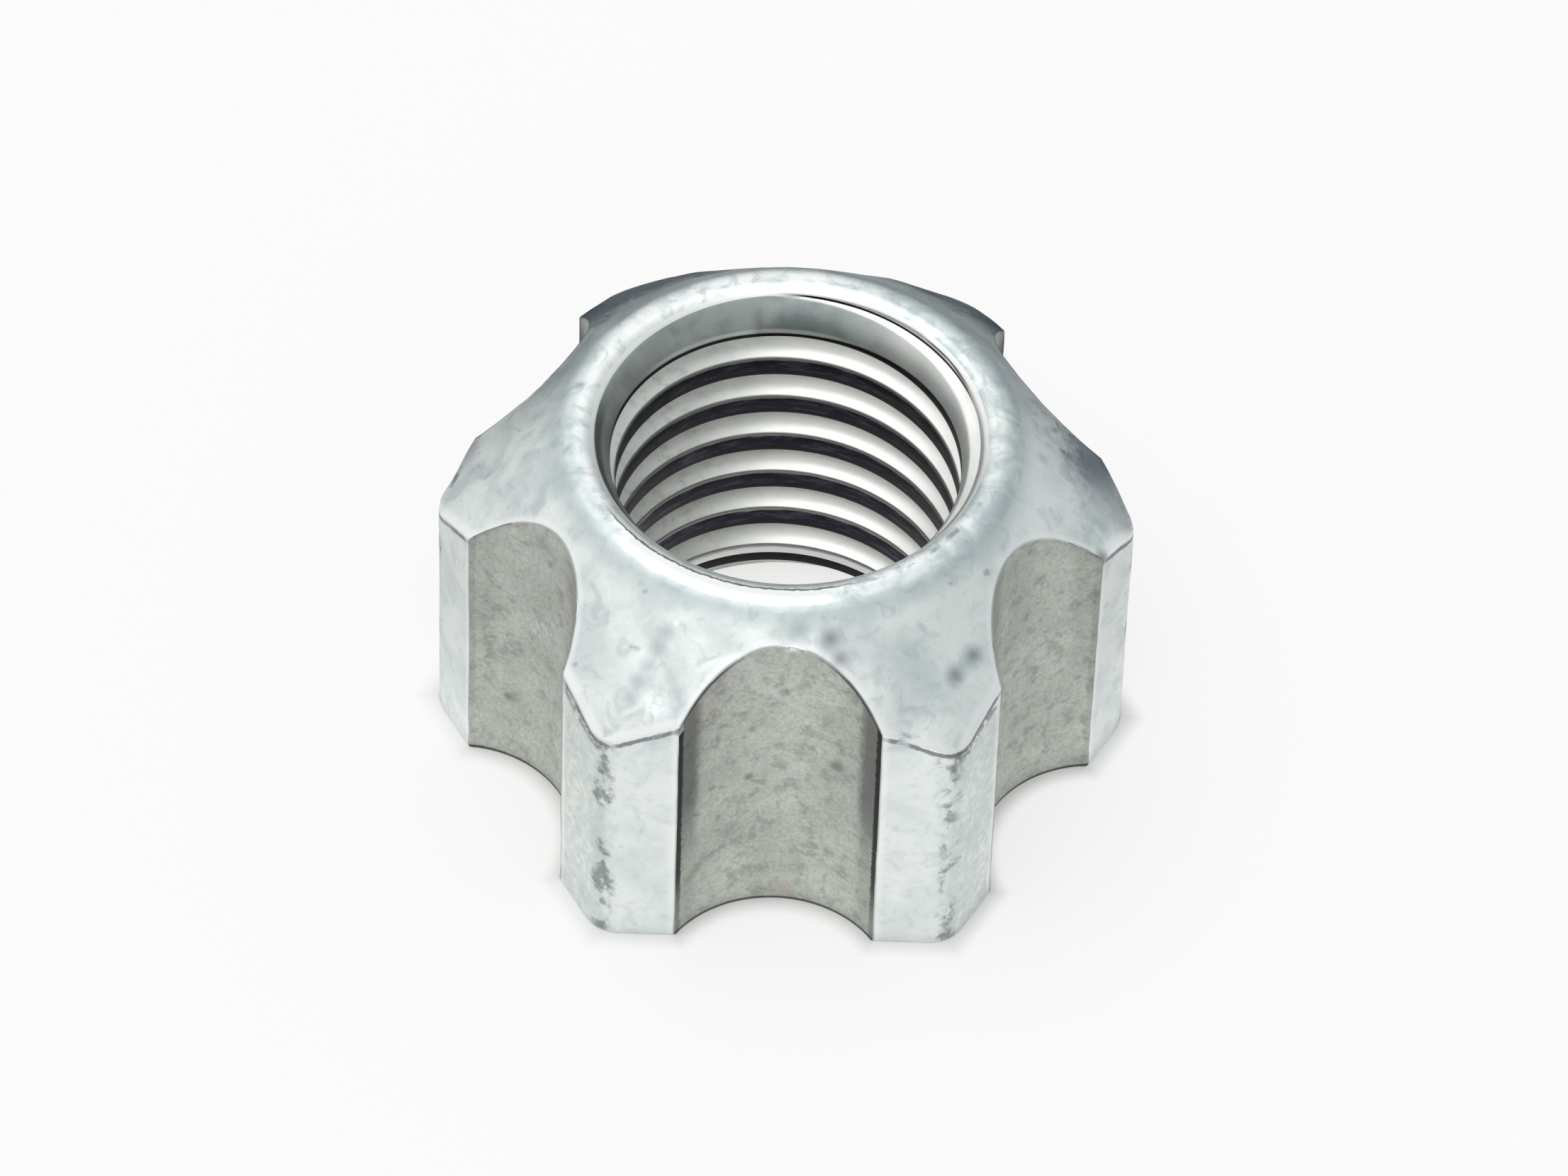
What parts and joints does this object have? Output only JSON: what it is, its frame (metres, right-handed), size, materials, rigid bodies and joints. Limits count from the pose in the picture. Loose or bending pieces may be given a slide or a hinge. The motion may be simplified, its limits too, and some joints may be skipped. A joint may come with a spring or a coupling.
{
  "type": "wheel nut",
  "caption": "Hexagon wheel nut with a conical seat, round flutes down its flats and a through thread.",
  "frame": {"origin": "centre of the flat base, on the thread's axis", "axes": "+Z along the thread's axis, out of the conical seat end; -Y out of the middle of one fluted flat"},
  "size_m": [0.0216, 0.019, 0.0128],
  "materials": {
    "zinc_plated_steel": "dull bright zinc over forged steel, bare satin steel in the flutes"
  },
  "bodies": {
    "root": {"wheel_nut": "zinc_plated_steel"}
  },
  "joints": []
}
